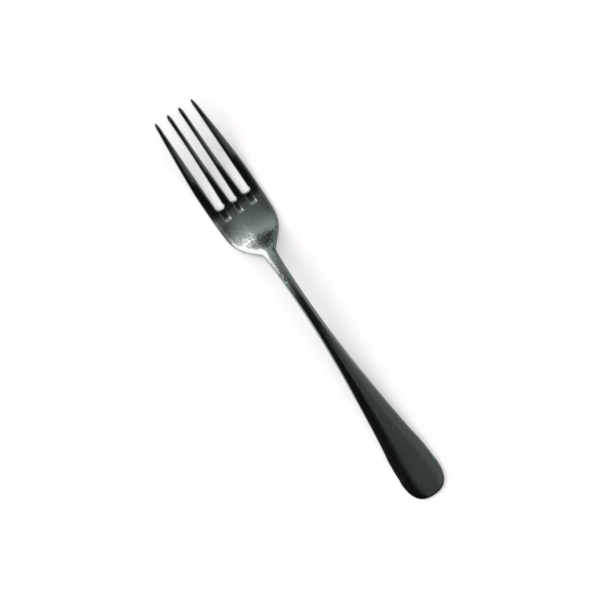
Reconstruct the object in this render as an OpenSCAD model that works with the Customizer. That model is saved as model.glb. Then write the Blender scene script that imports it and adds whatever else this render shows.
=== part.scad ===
// A table fork formed from one stainless steel blank: a round-ended handle, a narrow arched neck
// that falls over a steep heel into a head with four tapered tines. Lengths are in millimetres.
// It lies tines up: X runs from the handle end to the tine tips, Y across, and Z is up.

/* [Overall] */
// Length of the fork, seen from above
fork_length = 200; // [180:1:230]

/* [Handle outline] */
// Greatest width of the handle, near its round end
handle_width = 18.7; // [15:0.1:23]
// Distance from the end over which the outline turns from round to tapering
handle_end_length = 19.5; // [15:0.5:24]
// Squareness of the round end: 0.41 is an ellipse and higher is blunter
end_squareness = 0.47; // [0.41:0.01:0.7]
// Width that the taper heads for first
taper_width = 14.1; // [11:0.1:17]
// Distance from the round end's stretch to that width
taper_lead = 12; // [9:0.5:16]
// Distance from that width to the waist
taper_length = 51; // [40:0.5:60]
// Width of the waist, the narrowest stretch
waist_width = 4.7; // [3.6:0.1:6]

/* [Head outline] */
// Width of the neck where it opens into the head
neck_width = 5.1; // [4:0.1:7]
// Distance from the tips to the heel, where the neck opens into the head
heel_from_tips = 74.5; // [65:0.5:82]
// Length of the slanting flare from the heel to the shoulders
flare_length = 10.8; // [8:0.1:14]
// Share of the flare that is taken up by the hollow curve at the heel
heel_curve = 0.18; // [0.05:0.01:0.4]
// Width that the flare heads for at the shoulders
shoulder_width = 24.3; // [19:0.1:25]
// Distance from the shoulders to the full width of the head
shoulder_length = 11.2; // [8:0.1:14]
// Greatest width of the head
head_width = 25.7; // [23:0.1:31]
// Distance from the tips at which the sides start to close in
closing_from_tips = 28.5; // [22:0.5:36]

/* [Tines] */
// Length of the slots between the tines
slot_length = 46.3; // [38:0.1:52]
// Depth of the round root of a slot
root_round = 1.5; // [0.8:0.1:2.5]
// Width of the middle slot at its root
middle_slot_root = 2.6; // [2:0.1:3.4]
// Width of the middle slot at the tips
middle_slot_tip = 3.85; // [2.6:0.05:4.6]
// Width of each side slot at its root
side_slot_root = 3.45; // [2.6:0.05:4.2]
// Width of each side slot at the tips
side_slot_tip = 4.5; // [3.2:0.1:5.4]
// Width of an inner tine at its root
inner_tine_root = 3.65; // [3:0.05:4.4]
// Width of an inner tine just before its rounded tip
inner_tine_tip = 2.05; // [1.6:0.05:3]
// Width of an outer tine just before its rounded tip
outer_tine_tip = 1.65; // [1.2:0.05:2.6]
// Length of a rounded tip
tip_round = 2.2; // [1.2:0.1:4]
// Length over which the flat top of a tine's root turns into a full crown
crown_length = 14; // [8:0.5:24]

/* [Flutes] */
// Length of the ground flute on the upper face behind each slot
flute_length = 6.3; // [4:0.1:9]
// Depth of a flute at its round end
flute_end_depth = 0.15; // [0.05:0.05:0.3]
// Depth of a flute at the slot's root
flute_root_depth = 0.55; // [0.3:0.05:0.8]
// Distance from a flute's edge to the line of the slot's side
flute_margin = 0.08; // [0:0.01:0.3]

/* [Thickness] */
// Thickness at the round end of the handle
handle_end_thickness = 2.3; // [1.6:0.1:3.2]
// Thickness at the waist and the neck
neck_thickness = 3.8; // [2.8:0.1:4.8]
// Thickness of the head
palm_thickness = 2.1; // [1.5:0.1:2.8]
// Thickness of the tines just before their rounded tips
tip_thickness = 1.4; // [0.9:0.1:2]
// Distance past the heel over which the metal thins to the head's thickness
thinning_length = 5; // [3:0.5:10]
// Length over which the metal thins towards the round end
end_round = 12.3; // [8:0.1:16]

/* [Side view] */
// Distance from the end over which the handle lies flat before it starts to rise
handle_flat = 16; // [8:0.5:26]
// Height of the arched neck above the belly
arch_rise = 9.3; // [7:0.1:12]
// Length of the arch
arch_length = 31; // [24:0.5:38]
// Distance from the end of the arch to the heel
arch_lead = 4.5; // [2:0.1:8]
// Distance from the end of the arch to the brow, over which it turns down
brow_length = 6.7; // [4:0.1:10]
// Height of the brow above the belly
brow_rise = 7.1; // [5.5:0.1:9]
// Length of the steep fall from the brow to the foot of the heel
fall_length = 7; // [5:0.1:10]
// Height of the foot of the heel above the belly
foot_rise = 1.95; // [1:0.05:3]
// Length over which the foot runs out into the belly
foot_length = 7; // [4:0.1:10]
// Length over which the belly turns from falling to rising
belly_length = 15.6; // [10:0.1:22]
// Gap between the middle of the belly and the table, where the drooped sides bear
belly_clearance = 0.05; // [0:0.01:0.2]
// Height above the belly that the tines head for first
tine_bend_rise = 3.9; // [1.5:0.1:6]
// Distance from the tips to that height
tine_bend_from_tips = 20; // [14:0.5:28]
// Height of the tips above the belly
tip_rise = 14.6; // [10:0.1:19]

/* [Cross sections] */
// Width of the rounded rim round the head
head_rim = 2.3; // [1.2:0.1:3.2]
// How far before the flare the rim starts to narrow from the neck's to the head's
rim_lead = 2.5; // [1:0.5:5]
// Width of the rounded rim round the slots
slot_rim = 1.2; // [0.6:0.1:1.8]
// Width of the rounded rim round the handle's flat underside
underside_rim = 2.5; // [1.5:0.1:5]
// How far the heel's sides fall below its middle, over the width of the head
heel_droop = 2; // [1:0.1:3]
// Distance from the start of that fall to the heel
droop_lead = 8; // [4:0.5:12]
// Distance past the heel over which it lasts
droop_length = 7; // [4:0.5:9]
// Distance over which it then dies away into the flat of the head
droop_fade = 12; // [8:0.5:16]
// Height of the low ridge that carries the neck on into the head
ridge_height = 0.7; // [0:0.1:1.2]
// Distance from the start of the ridge to the heel
ridge_lead = 2; // [0:0.5:5]
// Distance from the middle line over which the ridge spreads
ridge_spread = 5; // [3:0.5:8]
// Fullness of the handle's section: 2 is an ellipse and higher is flatter
handle_fullness = 2.4; // [2:0.1:5]
// Fullness of the neck's section where it meets the heel
neck_fullness = 3; // [2:0.1:4]
// Fullness of the head's rounded rim
head_fullness = 2.4; // [2:0.1:4]
// Fullness of a tine's tip
tine_fullness = 2.8; // [2:0.1:4]
// How many times fuller the underside is than the upper side
underside_fullness = 2; // [1:0.1:3]

/* [Hidden] */

// Bands across the head: four tines with three slots between them
bands = 7;

// A gap to an edge that is smaller than this is none
no_gap = 0.000001;

// Faces across a tine, across a slot, and along each stretch
tine_faces = 8;
slot_faces = 6;
end_rows = 8;
handle_rows = 13;
head_rows = 18;
flute_rows = 8;
tine_rows = 10;
tip_rows = 4;

// Places along the length, from the handle end
taper_x = handle_end_length + taper_lead;
waist_x = taper_x + taper_length;
heel_x = fork_length - heel_from_tips;
shoulder_x = heel_x + flare_length;
full_x = shoulder_x + shoulder_length;
closing_x = fork_length - closing_from_tips;
root_x = fork_length - slot_length;
flute_x = root_x - flute_length;
tine_x = root_x + root_round;
arch_x = heel_x - arch_lead;
brow_x = arch_x + brow_length;
foot_x = brow_x + fall_length;
belly_x = foot_x + foot_length;
palm_middle = palm_thickness / 2;
belly_height = belly_clearance + palm_middle;

heel = [heel_x, neck_width / 2];
shoulder = [shoulder_x, shoulder_width / 2];
tip_half_width = middle_slot_tip / 2 + inner_tine_tip + side_slot_tip + outer_tine_tip;

// Half width along the length
plan_polygon = [
    [0, 0],
    [0, end_squareness * handle_width / 2],
    [(1 - end_squareness) * handle_end_length / 2, handle_width / 2],
    [handle_end_length, handle_width / 2],
    [taper_x, taper_width / 2],
    [waist_x, waist_width / 2],
    heel,
    heel + heel_curve * (shoulder - heel),
    shoulder,
    [full_x, head_width / 2],
    [closing_x, head_width / 2],
    [fork_length, tip_half_width]
];

// Height of the middle of the metal along the length, with the belly and the handle end on the table
side_polygon = [
    [0, handle_end_thickness / 2],
    [handle_flat, handle_end_thickness / 2],
    [arch_x - arch_length, belly_height + arch_rise],
    [arch_x, belly_height + arch_rise],
    [brow_x, belly_height + brow_rise],
    [foot_x, belly_height + foot_rise],
    [belly_x, belly_height],
    [belly_x + belly_length, belly_height],
    [fork_length - tine_bend_from_tips, belly_height + tine_bend_rise],
    [fork_length, belly_height + tip_rise]
];

// Thickness in the middle of the section
thickness_polygon = [
    [0, handle_end_thickness],
    [handle_end_length, handle_end_thickness],
    [waist_x, neck_thickness],
    [heel_x, neck_thickness],
    [heel_x + thinning_length, palm_thickness],
    [root_x, palm_thickness],
    [fork_length, tip_thickness]
];

// What the upper side gains along the middle line
ridge_polygon = [
    [0, 0],
    [heel_x - ridge_lead, 0],
    [heel_x + thinning_length, ridge_height],
    [full_x, 0],
    [fork_length, 0]
];

// Fullness of the section
fullness_polygon = [
    [0, handle_fullness],
    [waist_x, handle_fullness],
    [heel_x, neck_fullness],
    [full_x, head_fullness],
    [fork_length, tine_fullness]
];

// Rise of the sides over the middle line, for the width of the head: they droop at the heel
droop_polygon = [
    [0, 0],
    [heel_x - droop_lead, 0],
    [heel_x, -heel_droop],
    [heel_x + droop_length, -heel_droop],
    [heel_x + droop_length + droop_fade, 0],
    [root_x, 0],
    [fork_length, 0]
];

// A control polygon holds a chain of parabolas, each tangent to the legs at their middles
function knot(polygon, i) =
    i == 0 ? polygon[0]
    : i == len(polygon) - 2 ? polygon[i + 1]
    : (polygon[i] + polygon[i + 1]) / 2;

function arc_at(polygon, x, i = 0) =
    i == len(polygon) - 3 || x < knot(polygon, i + 1)[0] ? i : arc_at(polygon, x, i + 1);

function arc_share(start, corner, end, x) =
    let (
        run = x - start[0],
        lead = corner[0] - start[0],
        bend = start[0] - 2 * corner[0] + end[0]
    )
    run <= 0 ? 0 : run / (lead + sqrt(max(lead * lead + bend * run, 0)));

// Value of the chain at x
function along(polygon, x) =
    let (
        i = arc_at(polygon, x),
        a = knot(polygon, i),
        b = polygon[i + 1],
        c = knot(polygon, i + 1),
        t = arc_share(a, b, c, x)
    )
    pow(1 - t, 2) * a[1] + 2 * t * (1 - t) * b[1] + t * t * c[1];

// Angle of the chain at x
function angle_along(polygon, x) =
    let (
        i = arc_at(polygon, x),
        b = polygon[i + 1],
        t = arc_share(knot(polygon, i), b, knot(polygon, i + 1), x),
        direction = (1 - t) * (b - knot(polygon, i)) + t * (knot(polygon, i + 1) - b)
    )
    atan2(direction[1], direction[0]);

// Half width of the outline
function half_width(x) = along(plan_polygon, x);

// A size that changes from a slot's root to the tips, fast at first
function root_to_tip(root, tip, x) =
    let (left = 1 - max(x - tine_x, 0) / (fork_length - tine_x))
    tip + (root - tip) * left * left;

// The eight edges of the tines at x, from side to side
function tine_edges(x) =
    let (
        a = root_to_tip(middle_slot_root, middle_slot_tip, x) / 2,
        b = a + root_to_tip(inner_tine_root, inner_tine_tip, x),
        c = b + root_to_tip(side_slot_root, side_slot_tip, x),
        d = half_width(x)
    )
    [-d, -c, -b, -a, a, b, c, d];

// Columns across the head, as [band, place]: even bands are tines, odd ones slots, and the place runs
// from -1 at one edge of the band to 1 at the other
columns = [
    for (band = [0:bands - 1])
        let (slot = band % 2 == 1, faces = slot ? slot_faces : tine_faces, inset = slot ? 1 : 0)
            for (k = [inset:faces - inset])
                [band, -cos(180 * k / faces)]
];

function is_slot(column) = column[0] % 2 == 1;

function column_y(column, x, narrowing = 1) =
    let (edges = tine_edges(x), low = edges[column[0]], high = edges[column[0] + 1])
    (low + high) / 2 + column[1] * narrowing * (high - low) / 2;

// Share of the thickness left at a place across a section, from 1 in the middle to 0 at the edge
function round_off(place, fullness) = sqrt(max(1 - pow(abs(place), fullness), 0));

// Share left near an end that is rounded over a length
function end_off(distance, length) = round_off(1 - min(distance / length, 1), 2);

// Puts a point of the flat blank on the bent fork: h is its distance from the middle of the metal
function bend(x, y, h) =
    let (
        angle = angle_along(side_polygon, x),
        lift = h + along(droop_polygon, x) * pow(2 * y / head_width, 2)
    )
    [
        x - lift * sin(angle) - fork_length / 2,
        y,
        along(side_polygon, x) + lift * cos(angle)
    ];

// A smooth S from 0 at one place to 1 at another
function ease(from, to, x) =
    let (share = min(max((x - from) / (to - from), 0), 1))
    share * share * (3 - 2 * share);

// Share of a rounding band that a gap to its edge takes up
function share_of(gap, band) = gap < no_gap ? 0 : min(gap / band, 1);

// Share of the rounding band between the outline and a place across it, from -1 to 1. The upper side's band
// is as wide as half the handle, counts the round end as well, and narrows to the head's rim on the flare
function from_rim(x, place, side) =
    let (
        on_head = ease(heel_x - rim_lead, shoulder_x - rim_lead, x),
        half = half_width(x),
        to_end = max(1 - x / end_round, 0),
        out = sqrt(place * place + (1 - place * place) * to_end * to_end),
        lean = 1 + on_head * (cos(angle_along(plan_polygon, x)) - 1),
        band = half + on_head * (head_rim - half)
    )
    share_of((1 - out) * half * lean, side > 0 ? band : min(band, underside_rim));

// The three slots at their roots, as [middle, half width]
slots = [
    for (i = [1:2:5])
        let (edges = tine_edges(tine_x))
            [(edges[i] + edges[i + 1]) / 2, (edges[i + 1] - edges[i]) / 2]
];

// Share of the rounding band between the nearest slot's oval root and a point
function from_slots(x, y) =
    min([
        for (slot = slots)
            share_of(norm([min(x - tine_x, 0) * slot[1] / root_round, y - slot[0]]) - slot[1], slot_rim)
    ]);

// Depth of the flutes: round grooves with a round end, which deepen towards the slots
function flute_depth(x, y) =
    let (
        fall = min(max((x - flute_x) / flute_length, 0), 1),
        floor_depth = flute_end_depth + (flute_root_depth - flute_end_depth) * fall
    )
    max([
        for (slot = slots)
            let (
                reach = slot[1] - flute_margin,
                out = norm([min(x - flute_x - reach, 0), y - slot[0]]) / reach
            )
                max(floor_depth * (1 - out * out), 0)
    ]);

// Distance of the skin from the middle of the metal, on the upper side, 1, or the underside, -1
function skin(x, y, inward, side) =
    let (
        upper = side > 0,
        fullness = along(fullness_polygon, x) * (upper ? 1 : underside_fullness),
        ridge = upper ? along(ridge_polygon, x) * exp(-pow(y / ridge_spread, 2)) : 0,
        ground = upper && x < tine_x ? flute_depth(x, y) / palm_middle : 0
    )
    (along(thickness_polygon, x) / 2 + ridge) * round_off(1 - inward, fullness) * (1 - ground);

// A point of the handle, the neck or the head, behind the flutes
function body_point(column, x, side) =
    let (place = column_y(column, flute_x) / half_width(flute_x), y = place * half_width(x))
    bend(x, y, side * skin(x, y, from_rim(x, place, side), side));

// A point of the stretch where the flutes run into the slots: share goes from 0 to 1 along it
function flute_point(column, share, side) =
    let (
        end = is_slot(column) ? tine_x - root_round * round_off(column[1], 2) : tine_x,
        x = flute_x + share * (end - flute_x),
        y = column_y(column, x),
        on_slot = share == 1 && (is_slot(column) || abs(column[1]) == 1),
        inward = on_slot ? 0 : min(from_rim(x, y / half_width(x), side), from_slots(x, y))
    )
    bend(x, y, side * skin(x, y, inward, side));

// Share of the rounding band of a tine's edge, which grows to half the tine past its root
function from_tine_edge(gap, rim, half, x) =
    share_of(gap, rim + (half - rim) * ease(tine_x, tine_x + crown_length, x));

// A point of a tine
function tine_point(column, x, side) =
    let (
        edges = tine_edges(x),
        half = (edges[column[0] + 1] - edges[column[0]]) / 2,
        low_rim = column[0] == 0 ? head_rim : slot_rim,
        high_rim = column[0] == bands - 1 ? head_rim : slot_rim,
        inward = min(
            from_tine_edge((1 + column[1]) * half, low_rim, half, x),
            from_tine_edge((1 - column[1]) * half, high_rim, half, x)
        ),
        narrowing = end_off(fork_length - x, tip_round),
        y = column_y(column, x, narrowing)
    )
    bend(x, y, side * narrowing * skin(x, y, inward, side));

body_x = concat(
    [for (i = [0:end_rows]) end_round * (1 - cos(90 * i / end_rows))],
    [for (i = [1:handle_rows]) end_round + (arch_x - end_round) * i / handle_rows],
    [for (i = [1:head_rows]) arch_x + (flute_x - arch_x) * i / head_rows]
);
tine_end_x = fork_length - tip_round;
along_tine_x = concat(
    [for (i = [1:tine_rows]) tine_x + (tine_end_x - tine_x) * i / tine_rows],
    [for (i = [1:tip_rows]) tine_end_x + tip_round * sin(90 * i / tip_rows)]
);

function body_sheet(side) = concat(
    [for (x = body_x) [for (column = columns) body_point(column, x, side)]],
    [for (i = [1:flute_rows]) [for (column = columns) flute_point(column, i / flute_rows, side)]]
);

// A tine starts on the last row of the body
function tine_sheet(band, side) =
    let (across = [for (column = columns) if (column[0] == band) column])
    concat(
        [[for (column = across) flute_point(column, 1, side)]],
        [for (x = along_tine_x) [for (column = across) tine_point(column, x, side)]]
    );

// Triangles of a sheet of points whose first or last row may be drawn together into one point
function sheet_faces(sheet, start, side, first_is_point, last_is_point) =
    let (rows = len(sheet), width = len(sheet[0]))
    [
        for (i = [0:rows - 2], j = [0:width - 2])
            let (a = start + i * width + j, b = a + 1, c = a + width + 1, d = a + width)
                each [
                    if (i > 0 || !first_is_point) side > 0 ? [a, b, c] : [c, b, a],
                    if (i < rows - 2 || !last_is_point) side > 0 ? [a, c, d] : [d, c, a]
                ]
    ];

function sheet_points(sheet) = [for (row = sheet) each row];

function total(list, count) = count == 0 ? 0 : list[count - 1] + total(list, count - 1);

// The whole skin: an upper and a lower sheet for the body and for each tine, joined along the outline
module fork() {
    tines = [for (band = [0:2:bands - 1], side = [1, -1]) [tine_sheet(band, side), side, false, true]];
    sheets = concat([for (side = [1, -1]) [body_sheet(side), side, true, false]], tines);
    counts = [for (sheet = sheets) len(sheet[0]) * len(sheet[0][0])];
    color([0.55, 0.57, 0.56])
        polyhedron(
            points = [for (sheet = sheets) each sheet_points(sheet[0])],
            faces = [
                for (i = [0:len(sheets) - 1])
                    each sheet_faces(sheets[i][0], total(counts, i), sheets[i][1], sheets[i][2], sheets[i][3])
            ],
            convexity = 6
        );
}

fork();
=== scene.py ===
import math

import bmesh
import bpy
import numpy as np
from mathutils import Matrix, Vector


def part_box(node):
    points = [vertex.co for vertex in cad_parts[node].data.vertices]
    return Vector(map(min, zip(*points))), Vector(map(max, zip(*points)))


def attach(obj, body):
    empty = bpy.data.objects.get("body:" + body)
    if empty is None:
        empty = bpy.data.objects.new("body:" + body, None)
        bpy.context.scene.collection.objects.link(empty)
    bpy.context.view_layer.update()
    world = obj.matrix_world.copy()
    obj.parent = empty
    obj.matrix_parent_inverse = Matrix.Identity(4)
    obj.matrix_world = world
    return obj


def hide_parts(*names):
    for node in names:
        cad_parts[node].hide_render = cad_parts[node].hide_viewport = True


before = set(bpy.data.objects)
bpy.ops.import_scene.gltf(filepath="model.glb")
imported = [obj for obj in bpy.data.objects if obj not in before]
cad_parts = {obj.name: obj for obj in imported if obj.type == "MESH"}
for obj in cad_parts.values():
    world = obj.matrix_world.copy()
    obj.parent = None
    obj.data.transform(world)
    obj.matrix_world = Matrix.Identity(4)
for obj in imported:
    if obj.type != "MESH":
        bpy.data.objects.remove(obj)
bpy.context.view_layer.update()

# The fork: one piece of stainless steel, stamped from a flat blank with four tines, rolled thin at the
# head, pressed to its curve and ground behind the slots. The handle is polished, and the neck and the
# head keep the finer, duller grain of tumbling. Its sizes are in millimetres, from the handle's end.
mm = 0.001
low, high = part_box("fork")
fork_length = (high[0] - low[0]) / mm

# Outline: a round end, a taper to the waist, and a flare from the heel to the head
handle_width = 18.7
handle_end = 12.3
end_squareness = 2.56
taper_start = 19.5
taper_x = taper_start + 12
taper_width = 14.1
waist_x = taper_x + 51
waist_width = 4.7
neck_width = 5.1
heel_x = fork_length - 74.5
heel_curve = 0.18
shoulder_x = heel_x + 10.8
shoulder_width = 24.3
full_x = shoulder_x + 11.2
head_width = 25.7
closing_x = fork_length - 28.5

# Slots and tines: each pair of widths is at the slots' roots and at the tips
root_round = 1.5
root_x = fork_length - 46.3
tine_x = root_x + root_round
middle_slot = (2.6, 3.85)
side_slot = (3.45, 4.5)
inner_tine = (3.65, 2.05)
outer_tine_tip = 1.65
tip_round = 3.2
tip_half_width = middle_slot[1] / 2 + inner_tine[1] + side_slot[1] + outer_tine_tip

heel = np.array([heel_x, neck_width / 2])
shoulder = np.array([shoulder_x, shoulder_width / 2])
plan_polygon = [
    [0, handle_width / 2],
    [taper_start, handle_width / 2],
    [taper_x, taper_width / 2],
    [waist_x, waist_width / 2],
    heel,
    heel + heel_curve * (shoulder - heel),
    shoulder,
    [full_x, head_width / 2],
    [closing_x, head_width / 2],
    [fork_length, tip_half_width],
]

# Thickness in the middle of the section
handle_thickness = 2.3
neck_thickness = 3.8
palm_thickness = 2.1
tip_thickness = 1.4
thinning_length = 5
thickness_polygon = [
    [0, handle_thickness],
    [taper_start, handle_thickness],
    [waist_x, neck_thickness],
    [heel_x, neck_thickness],
    [heel_x + thinning_length, palm_thickness],
    [root_x, palm_thickness],
    [fork_length, tip_thickness],
]

# Side view: heights of the arch, the brow, the heel's foot and the tines are above the belly's
rise_x = 16
arch_start_x = fork_length - 110
arch_end_x = fork_length - 79
arch_height = 9.3
brow_x = fork_length - 72.3
brow_height = 7.1
foot_x = fork_length - 65.3
foot_height = 1.95
belly_x = fork_length - 50.5
belly_length = 15.6
belly_clearance = 0.05
belly_height = palm_thickness / 2 + belly_clearance
sweep_x = fork_length - 20
sweep_height = 3.9
tip_height = 14.6
side_polygon = [
    [0, handle_thickness / 2],
    [rise_x, handle_thickness / 2],
    [arch_start_x, belly_height + arch_height],
    [arch_end_x, belly_height + arch_height],
    [brow_x, belly_height + brow_height],
    [foot_x, belly_height + foot_height],
    [belly_x - belly_length / 2, belly_height],
    [belly_x + belly_length / 2, belly_height],
    [sweep_x, belly_height + sweep_height],
    [fork_length, belly_height + tip_height],
]

# A low ridge carries the neck on into the head, and the heel's sides droop below its middle
ridge_height = 0.7
ridge_start_x = heel_x - 2
ridge_top_x = heel_x + 5
ridge_end_x = heel_x + 20
ridge_width = 5
ridge_polygon = [
    [0, 0],
    [ridge_start_x, 0],
    [ridge_top_x, ridge_height],
    [ridge_end_x, 0],
    [fork_length, 0],
]
droop = 2
droop_start_x = heel_x - 8
droop_fade_x = heel_x + 7
droop_end_x = heel_x + 19
droop_polygon = [
    [0, 0],
    [droop_start_x, 0],
    [heel_x, -droop],
    [droop_fade_x, -droop],
    [droop_end_x, 0],
    [root_x, 0],
    [fork_length, 0],
]

# Fullness of the rounded section: 2 is an ellipse and higher is flatter
handle_fullness = 2.4
neck_fullness = 3.0
head_fullness = 2.4
tip_fullness = 2.8
fullness_polygon = [
    [0, handle_fullness],
    [taper_x, handle_fullness],
    [waist_x, handle_fullness],
    [heel_x, neck_fullness],
    [full_x, head_fullness],
    [fork_length, tip_fullness],
]


def chain(polygon, x):
    """Value at x of a chain of parabolas, each tangent to the two legs of a polygon's corner at their
    middles."""
    points = np.array(polygon)
    knots = np.vstack([points[:1], (points[1:-2] + points[2:-1]) / 2, points[-1:]])
    arc = np.clip(np.searchsorted(knots[:, 0], x, side="right") - 1, 0, len(knots) - 2)
    start, corner, end = knots[arc], points[arc + 1], knots[arc + 1]
    run = x - start[..., 0]
    lead = corner[..., 0] - start[..., 0]
    spread = start[..., 0] - 2 * corner[..., 0] + end[..., 0]
    share = run / (lead + np.sqrt(np.maximum(lead**2 + spread * run, 0)))
    rest = 1 - share
    return rest**2 * start[..., 1] + 2 * share * rest * corner[..., 1] + share**2 * end[..., 1]


def along(polygon, x, reach=1.5, samples=13):
    """The chain at x, averaged over a reach to either side, so that the shine shows no crease."""
    steps = np.linspace(-1, 1, samples)
    weights = 1 - steps**2
    return chain(polygon, np.asarray(x)[..., None] + reach * steps) @ (weights / weights.sum())


def slope(polygon, x, reach=1.5, step=0.05):
    """Rise of the averaged chain over its run at x."""
    return (along(polygon, x + step, reach) - along(polygon, x - step, reach)) / (2 * step)


def ease(low_end, high_end, value):
    """0 before one end, 1 past the other, and a smooth S between them."""
    share = np.clip((value - low_end) / (high_end - low_end), 0, 1)
    return share * share * (3 - 2 * share)


outline_reach = 0.6


def half_width(x):
    """Half the width of the outline at x."""
    return along(plan_polygon, x, outline_reach)


def root_to_tip(sizes, x):
    """A size that goes from its value at the slots' roots to its value at the tips, fast at first."""
    share_left = 1 - np.clip(x - tine_x, 0, None) / (fork_length - tine_x)
    return sizes[1] + (sizes[0] - sizes[1]) * share_left**2


def tine_edges(x):
    """The eight edges of the four tines at x, from side to side, in a last axis."""
    a = root_to_tip(middle_slot, x) / 2
    b = a + root_to_tip(inner_tine, x)
    c = b + root_to_tip(side_slot, x)
    d = half_width(x)
    return np.stack([-d, -c, -b, -a, a, b, c, d], axis=-1)


# Columns across the head, evenly turned round each band: even bands are tines and odd ones slots
bands = 7
tine_faces = 18
slot_faces = 14
band_faces = [slot_faces if band % 2 else tine_faces for band in range(bands)]
inset = [band % 2 for band in range(bands)]
column_band = np.concatenate([
    np.full(faces + 1 - 2 * trim, band) for band, (faces, trim) in enumerate(zip(band_faces, inset))
])
column_place = np.concatenate([
    -np.cos(np.pi * np.arange(trim, faces + 1 - trim) / faces) for faces, trim in zip(band_faces, inset)
])
column_in_slot = column_band % 2 == 1


def across(x, band, place, narrowing=1):
    """Distance from the middle line at x, for a place from -1 to 1 across a band."""
    edges = tine_edges(x)
    from_edge = np.take_along_axis(edges, np.broadcast_to(band, x.shape)[..., None], -1)[..., 0]
    to_edge = np.take_along_axis(edges, np.broadcast_to(band + 1, x.shape)[..., None], -1)[..., 0]
    return (from_edge + to_edge) / 2 + place * narrowing * (to_edge - from_edge) / 2


# The rim is rounded over half the width on the handle, and over a narrow band round the head
rim_of_head = 2.3
rim_of_slots = 0.8
rim_change_start_x = heel_x - 3
rim_change_end_x = shoulder_x - 2


def rim_width(x):
    """Width over which the rim rounds off: the half width on the handle, then the head's narrow band."""
    half = half_width(x)
    return half + (rim_of_head - half) * ease(rim_change_start_x, rim_change_end_x, x)


def from_rim(x, y):
    """Share of the rounding band between the outline and a point, 0 on the outline and 1 past the band."""
    lean = 1 / np.sqrt(1 + slope(plan_polygon, x, outline_reach) ** 2)
    return np.clip((half_width(x) - np.abs(y)) * lean / rim_width(x), 0, 1)


slot_starts = tine_edges(tine_x)[1:-1:2]
slot_ends = tine_edges(tine_x)[2:-1:2]
slot_middles = (slot_starts + slot_ends) / 2
slot_halves = (slot_ends - slot_starts) / 2


def from_slots(x, y):
    """The same share for the nearest slot, whose root is half an ellipse."""
    gaps = [
        np.hypot(np.minimum(x - tine_x, 0) * half / root_round, y - middle) - half
        for middle, half in zip(slot_middles, slot_halves)
    ]
    return np.clip(np.min(gaps, axis=0) / rim_of_slots, 0, 1)


flute_length = 6.3
flute_x = root_x - flute_length
flute_end_depth = 0.36
flute_root_depth = 0.14
flute_ramp = 1.6
flute_share = 0.97
flute_squareness = 6


def flute_depth(x, y):
    """Depth of the ground flutes behind the slots: a steep-sided groove that starts at a short ramp, is
    deepest there and runs out towards the slot."""
    along_flute = np.clip((x - flute_x) / flute_length, 0, 1)
    floor_depth = flute_end_depth + (flute_root_depth - flute_end_depth) * along_flute
    depth = np.zeros_like(x)
    for middle, half in zip(slot_middles, slot_halves):
        out = np.abs(y - middle) / (flute_share * half)
        depth = np.maximum(depth, floor_depth * (1 - out**flute_squareness))
    return depth * ease(flute_x, flute_x + flute_ramp, x)


# The underside is flat inside a narrow rounded rim, and its edges are squarer than the upper ones
underside_fullness = 2
underside_rim = 2.5


def thick(x, y, inward, side):
    """Distance of the skin from the middle of the metal, rounded off from the full thickness to nothing
    at the rim, on the upper side, 1, or the underside, -1."""
    fullness = along(fullness_polygon, x) * (1 if side > 0 else underside_fullness)
    half = along(thickness_polygon, x) / 2
    if side > 0:
        half = half + along(ridge_polygon, x) * np.exp(-((y / ridge_width) ** 2))
    return half * np.sqrt(np.clip(1 - (1 - inward) ** fullness, 0, 1))


def bend(x, y, lift):
    """Places a point of the flat blank on the pressed fork: its lift, the distance from the middle of the
    metal, is set square to the side curve, and the sides droop with the square of their distance."""
    angle = np.arctan(slope(side_polygon, x))
    lift = lift + along(droop_polygon, x) * (2 * y / head_width) ** 2
    height = along(side_polygon, x) + lift * np.cos(angle)
    return np.stack([x - lift * np.sin(angle) - fork_length / 2, y, height], axis=-1) * mm


def faces_of(rows, columns, start, side):
    """Quads of a grid of points, turned over for the underside."""
    index = start + np.arange(rows * columns).reshape(rows, columns)
    quads = np.stack([index[:-1, :-1], index[:-1, 1:], index[1:, 1:], index[1:, :-1]], axis=-1)
    quads = quads.reshape(-1, 4)
    return quads if side > 0 else quads[:, ::-1]


# The handle's round end is a grid squeezed into half an oval, so that no column runs into a point
end_rows = 26
end_u = np.sin(np.linspace(np.pi / 2, 0, end_rows + 1))[:, None]
column_share = across(np.full(column_band.shape, flute_x), column_band, column_place) / half_width(flute_x)
disc_x = end_u * np.sqrt(1 - column_share**2 / 2)
disc_y = column_share * np.sqrt(1 - end_u**2 / 2)
disc_out = np.maximum(np.hypot(disc_x, disc_y), 1e-9)
oval = (
    np.abs(disc_x / disc_out) ** end_squareness + np.abs(disc_y / disc_out) ** end_squareness
) ** (-1 / end_squareness)
end_x = handle_end * (1 - disc_x * oval)
end_y = handle_width / 2 * disc_y * oval
end_inward = np.clip(1 - disc_out, 0, 1)

# Rows along the handle and the head, then rows that close in on the slots' round roots
handle_rows = 150
head_rows = 60
flute_rows = 34
head_start_x = heel_x - 4
flute_start_x = flute_x - 1
body_x = np.concatenate([
    np.linspace(handle_end, head_start_x, handle_rows + 1)[1:],
    np.linspace(head_start_x, flute_start_x, head_rows + 1)[1:],
])[:, None]
body_y = column_share * half_width(body_x)
body_x = np.broadcast_to(body_x, body_y.shape)

slot_end_x = np.where(column_in_slot, tine_x - root_round * np.sqrt(1 - column_place**2), tine_x)
flute_u = np.sin(np.linspace(0, np.pi / 2, flute_rows + 1))[1:, None]
near_x = flute_start_x + flute_u * (slot_end_x - flute_start_x)
near_y = across(near_x, column_band, column_place)
blank_x = np.concatenate([body_x, near_x])
blank_y = np.concatenate([body_y, near_y])
blank_inward = np.minimum(from_rim(blank_x, blank_y), from_slots(blank_x, blank_y))

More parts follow.
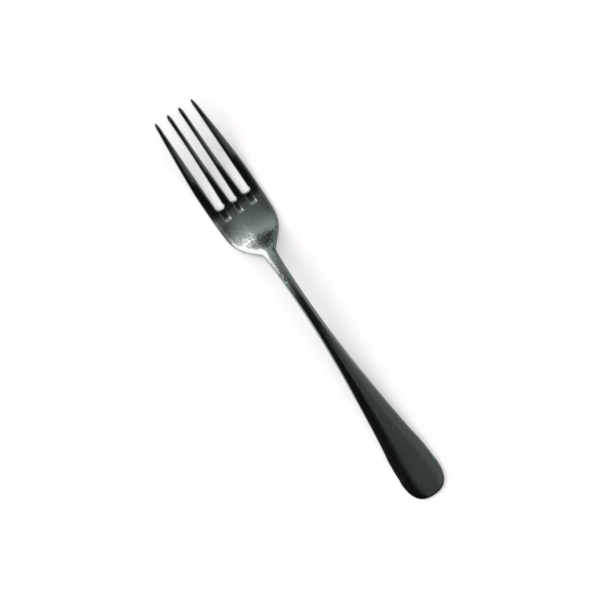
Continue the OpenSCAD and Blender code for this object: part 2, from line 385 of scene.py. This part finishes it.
sheet_x = np.concatenate([end_x, blank_x])
sheet_y = np.concatenate([end_y, blank_y])
sheet_inward = np.concatenate([end_inward, blank_inward])

# Rows along the tines, whose flat tops turn into full crowns, then rows round their tips
tine_rows = 96
tip_rows = 10
crown_length = 14
tip_x = fork_length - tip_round
tine_row_x = np.concatenate([
    np.linspace(tine_x, tip_x, tine_rows + 1),
    tip_x + tip_round * np.sin(np.pi / 2 * np.arange(1, tip_rows + 1) / tip_rows),
])[:, None]
narrowing = np.sqrt(np.clip(1 - np.clip((tine_row_x - tip_x) / tip_round, 0, 1) ** 2, 0, 1))

# The upper skin and the underside, each a sheet with its four tines, meet along the outline
points, quads = [], []
count = 0
for side in (1, -1):
    flute = flute_depth(sheet_x, sheet_y) if side > 0 else 0
    narrower = 1 if side > 0 else np.maximum(1, rim_width(sheet_x) / underside_rim)
    skin = thick(sheet_x, sheet_y, np.minimum(sheet_inward * narrower, 1), side)
    skin = skin * (1 - flute / (palm_thickness / 2))
    points.append(bend(sheet_x, sheet_y, side * skin).reshape(-1, 3))
    quads.append(faces_of(*sheet_x.shape, count, side))
    count += sheet_x.size
    for band in range(0, bands, 2):
        place = column_place[column_band == band]
        x = np.broadcast_to(tine_row_x, (tine_row_x.shape[0], place.size))
        y = across(x, np.full(place.shape, band), place, narrowing)
        half = np.diff(tine_edges(x))[..., band] / 2
        crowned = ease(tine_x, tine_x + crown_length, x)
        rims = [rim_of_head if outer else rim_of_slots for outer in (band == 0, band == bands - 1)]
        reaches = [rim + (half - rim) * crowned for rim in rims]
        inward = np.minimum((1 + place) * half / reaches[0], (1 - place) * half / reaches[1])
        skin = thick(x, y, np.clip(inward, 0, 1), side) * narrowing
        points.append(bend(x, y, side * skin).reshape(-1, 3))
        quads.append(faces_of(*x.shape, count, side))
        count += x.size

weld_gap = 0.0005 * mm
mesh = bpy.data.meshes.new("steel_fork")
mesh.from_pydata(np.concatenate(points).tolist(), [], np.concatenate(quads).tolist())
welded = bmesh.new()
welded.from_mesh(mesh)
bmesh.ops.remove_doubles(welded, verts=welded.verts, dist=weld_gap)
bmesh.ops.recalc_face_normals(welded, faces=welded.faces)
welded.to_mesh(mesh)
welded.free()
mesh.polygons.foreach_set("use_smooth", np.ones(len(mesh.polygons), dtype=bool))
fork = bpy.data.objects.new("steel_fork", mesh)
bpy.context.collection.objects.link(fork)


class Shade:
    """Wraps one output of a shader node. Arithmetic on it adds Math nodes."""

    def __init__(self, tree, socket=None):
        self.tree = tree
        self.socket = socket

    def node(self, kind, settings, inputs, output=0):
        """Adds a node of a type, sets its settings, then fills its sockets with values or links."""
        made = self.tree.nodes.new(kind)
        for name, value in settings.items():
            setattr(made, name, value)
        for name, value in inputs.items():
            if isinstance(value, Shade):
                self.tree.links.new(value.socket, made.inputs[name])
            else:
                made.inputs[name].default_value = value
        return Shade(self.tree, made.outputs[output] if made.outputs else None)

    def maths(self, operation, *values):
        """One Math node on two values."""
        return self.node("ShaderNodeMath", {"operation": operation}, dict(enumerate(values)))

    def step(self, start, end, pace="SMOOTHSTEP"):
        """Goes from 0 at one value to 1 at another, smoothly, or evenly where the pace is LINEAR."""
        return self.node(
            "ShaderNodeMapRange",
            {"interpolation_type": pace},
            {"Value": self, "From Min": start, "From Max": end},
        )

    def __add__(self, other):
        return self.maths("ADD", self, other)

    def __sub__(self, other):
        return self.maths("SUBTRACT", self, other)

    def __rsub__(self, other):
        return self.maths("SUBTRACT", other, self)

    def __mul__(self, other):
        return self.maths("MULTIPLY", self, other)

    def __truediv__(self, other):
        return self.maths("DIVIDE", self, other)

    def __pow__(self, other):
        return self.maths("POWER", self, other)

    __radd__ = __add__
    __rmul__ = __mul__


def new_material(name):
    """An empty node material and the Shade that adds nodes to it."""
    material = bpy.data.materials.new(name)
    material.use_nodes = True
    material.node_tree.nodes.clear()
    return material, Shade(material.node_tree)


def new_surface(shade, settings):
    """A Principled surface with the given sockets, linked to the material's output."""
    surface = shade.node("ShaderNodeBsdfPrincipled", {}, settings)
    shade.node("ShaderNodeOutputMaterial", {}, {"Surface": surface})


# Finish: a polish on the handle and the tines, and the tumbled satin between them, whose grains each
# lean their own way. Places along the fork are in metres from its middle.
satin_start = (0.004, 0.020)
satin_end = (0.0525, 0.0485)
grain_end = (0.046, 0.034)
polish_roughness = 0.15
satin_roughness = 0.24
mottle_roughness = 0.06
polish_lean = 0.03
grain_lean = 0.12
grains_a_metre = 2500
bright_steel = (0.65, 0.665, 0.65, 1)
worn_steel = (0.54, 0.555, 0.54, 1)
wear_kept_on_satin = 0.4

steel, shade = new_material("tumbled_steel")
spot = shade.node("ShaderNodeTexCoord", {}, {}, "Object")
along_fork = shade.node("ShaderNodeSeparateXYZ", {}, {"Vector": spot}, "X")
satin = along_fork.step(*satin_start) * along_fork.step(*satin_end)
grainy = along_fork.step(*satin_start) * along_fork.step(*grain_end)

grains = shade.node("ShaderNodeTexVoronoi", {}, {"Vector": spot, "Scale": grains_a_metre}, "Color")
lean = shade.node("ShaderNodeVectorMath", {"operation": "SUBTRACT"}, {0: grains, 1: (0.5, 0.5, 0.5)})
lean = shade.node(
    "ShaderNodeVectorMath",
    {"operation": "SCALE"},
    {0: lean, "Scale": polish_lean + grain_lean * grainy},
)
straight = shade.node("ShaderNodeNewGeometry", {}, {}, "Normal")
leaning = shade.node("ShaderNodeVectorMath", {"operation": "ADD"}, {0: straight, 1: lean})
facets = shade.node("ShaderNodeVectorMath", {"operation": "NORMALIZE"}, {0: leaning})

mottle = shade.node("ShaderNodeTexNoise", {}, {"Vector": spot, "Scale": 260, "Detail": 3})
scuffs = shade.node("ShaderNodeTexNoise", {}, {"Vector": spot, "Scale": 1000, "Detail": 4})
smudges = shade.node("ShaderNodeTexNoise", {}, {"Vector": spot, "Scale": 95, "Detail": 4})
wear = (0.7 * scuffs + 0.3 * smudges).step(0.3, 0.7)
wear = 0.5 + (wear - 0.5) * (1 - (1 - wear_kept_on_satin) * satin)
colour = shade.node(
    "ShaderNodeMix",
    {"data_type": "RGBA"},
    {"Factor": wear, "A": bright_steel, "B": worn_steel},
    "Result",
)
roughness = polish_roughness + (satin_roughness - polish_roughness) * satin
new_surface(shade, {
    "Base Color": colour,
    "Metallic": 1,
    "Roughness": roughness + mottle_roughness * (mottle - 0.5),
    "Normal": facets,
})
mesh.materials.append(steel)
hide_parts("fork")
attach(fork, "root")

# The table: a plain white sheet of paper, far wider than the view. The steel doesn't mirror it, because
# the surroundings below hold a dimmer table of their own.
floor_half = 3
floor_mesh = bpy.data.meshes.new("table")
floor_mesh.from_pydata(
    [
        (-floor_half, -floor_half, 0),
        (floor_half, -floor_half, 0),
        (floor_half, floor_half, 0),
        (-floor_half, floor_half, 0),
    ],
    [],
    [(0, 1, 2, 3)],
)
floor = bpy.data.objects.new("table", floor_mesh)
bpy.context.collection.objects.link(floor)
paper, shade = new_material("white_paper")
new_surface(shade, {"Base Color": (0.9, 0.9, 0.9, 1), "Roughness": 0.9})
floor_mesh.materials.append(paper)
floor.visible_glossy = False

# The camera looks straight down from afar. The photograph's right and up run along these directions
# of the table, and the middle of the fork lies a little off the middle of the picture.
photo_right = np.array([-0.5637, -0.8258])
photo_up = np.array([0.8258, -0.5637])
photo_pixels = 600
photo_width = 258.7 * mm
pixel = photo_width / photo_pixels
fork_right_of_middle = 3.8 * pixel
fork_below_middle = 3.37 * pixel
camera_height = 5.0
mean_fork_height = 0.006
camera_data = bpy.data.cameras.new("camera")
camera_data.sensor_width = 36
camera_data.lens = camera_data.sensor_width * camera_height / photo_width
camera = bpy.data.objects.new("camera", camera_data)
bpy.context.collection.objects.link(camera)
camera_spot = photo_up * fork_below_middle - photo_right * fork_right_of_middle
camera.location = (camera_spot[0], camera_spot[1], camera_height + mean_fork_height)
camera.rotation_euler = (0, 0, math.atan2(photo_right[1], photo_right[0]))
bpy.context.scene.camera = camera

# The light: soft lamps from above and from the left whiten the table and leave a soft shadow round the
# fork. The steel mirrors dim panels over the handle and, elsewhere, surroundings graded by direction:
# a window ahead on the left, a glow round the horizon, and a dark ceiling.


def panel(name, spot, size, radiance, colour, faces_fork=False, seen_in_steel=True):
    """A soft rectangular lamp of an even radiance, which is its power over pi and over its area. It faces
    straight down, or the middle of the fork."""
    lamp = bpy.data.lights.new(name, "AREA")
    lamp.shape = "RECTANGLE"
    lamp.color = colour
    lamp.size, lamp.size_y = size
    lamp.energy = radiance * math.pi * size[0] * size[1]
    lamp_object = bpy.data.objects.new(name, lamp)
    lamp_object.location = spot
    if faces_fork:
        lamp_object.rotation_mode = "QUATERNION"
        lamp_object.rotation_quaternion = lamp_object.location.to_track_quat("Z", "Y")
    lamp_object.visible_glossy = seen_in_steel
    lamp_object.visible_camera = False
    bpy.context.collection.objects.link(lamp_object)


dim_green = (0.87, 1.0, 0.91)
panel("over_handle", (-0.26, -0.25, 0.45), (0.3, 0.6), 0.065, dim_green)
panel("right_of_handle", (-0.26, -0.33, 0.46), (0.3, 0.5), 0.045, dim_green)
panel("right_of_fork", (-0.035, -0.3, 0.45), (0.15, 0.45), 0.015, dim_green)
faint_pink = (1.0, 0.93, 0.96)
panel("overhead", (0.0, 0.0, 4.0), (0.5, 0.5), 45, faint_pink, seen_in_steel=False)
panel("wash", (0.0, 0.0, 1.7), (4.0, 4.0), 0.79, faint_pink, seen_in_steel=False)
panel("shade_maker", (0.25, 0.6, 1.0), (1.5, 1.5), 0.52, faint_pink, faces_fork=True, seen_in_steel=False)

world = bpy.data.worlds.new("studio")
world.use_nodes = True
world.node_tree.nodes.clear()
shade = Shade(world.node_tree)
direction = shade.node("ShaderNodeTexCoord", {}, {}, "Generated")
ahead, left, up = [
    shade.node("ShaderNodeSeparateXYZ", {}, {"Vector": direction}, axis) for axis in "XYZ"
]

# What stands above: a wall ahead that brightens towards the horizon, the window, and the bright left
above = up.step(0.41, 0.53)
from_ahead = (0.112 + 0.412 * ahead) * (0.95 - 0.45 * left) * above
from_ahead = from_ahead * (ahead - 0.12 * left).step(0.0, 0.06) * left.step(-0.85, -0.65)
window = left.step(0.18, 0.36) * ahead.step(0.58, 0.8) * above
from_left = left.step(0, 0.62, "LINEAR") ** 1.6 * (ahead / left).step(0.02, 0.22) * up.step(-0.1, 0.05)

# What stands low: the right, the glow round the horizon, and what lies behind on the left
from_right = left.step(-0.45, -0.9) * up.step(-0.9, -0.3)
low_glow = ahead.step(0.3, 0.0) * up.step(0.45, 0.12) * up.step(-0.1, 0.05)
from_behind = left.step(0.1, 0.3) * ahead.step(-0.1, -0.35) * up.step(0.35, 0.1)

# The table, as the undersides and the edges mirror it
from_table = up.step(-0.3, -0.9)
table_on_left = (ahead + left).step(0.1, 0.4) * up.step(0.05, -0.15)

darkness = 0.004
strength = darkness + from_ahead + 2.8 * window + 1.5 * from_left
strength = strength + 0.13 * from_right + 0.45 * low_glow + 0.45 * from_behind
strength = strength + 0.55 * from_table + 0.6 * table_on_left
green_room = (0.84, 1.0, 0.93, 1)
white = (1, 1, 1, 1)
tint = shade.node(
    "ShaderNodeMix",
    {"data_type": "RGBA"},
    {"Factor": window + from_left + low_glow, "A": green_room, "B": white},
    "Result",
)
surroundings = shade.node("ShaderNodeBackground", {}, {"Color": tint, "Strength": strength})
backdrop = shade.node("ShaderNodeBackground", {}, {"Color": white, "Strength": 0.9})
to_camera = shade.node("ShaderNodeLightPath", {}, {}, "Is Camera Ray")
background = shade.node("ShaderNodeMixShader", {}, {0: to_camera, 1: surroundings, 2: backdrop})
shade.node("ShaderNodeOutputWorld", {}, {"Surface": background})
bpy.context.scene.world = world
bpy.context.scene.view_settings.view_transform = "Standard"
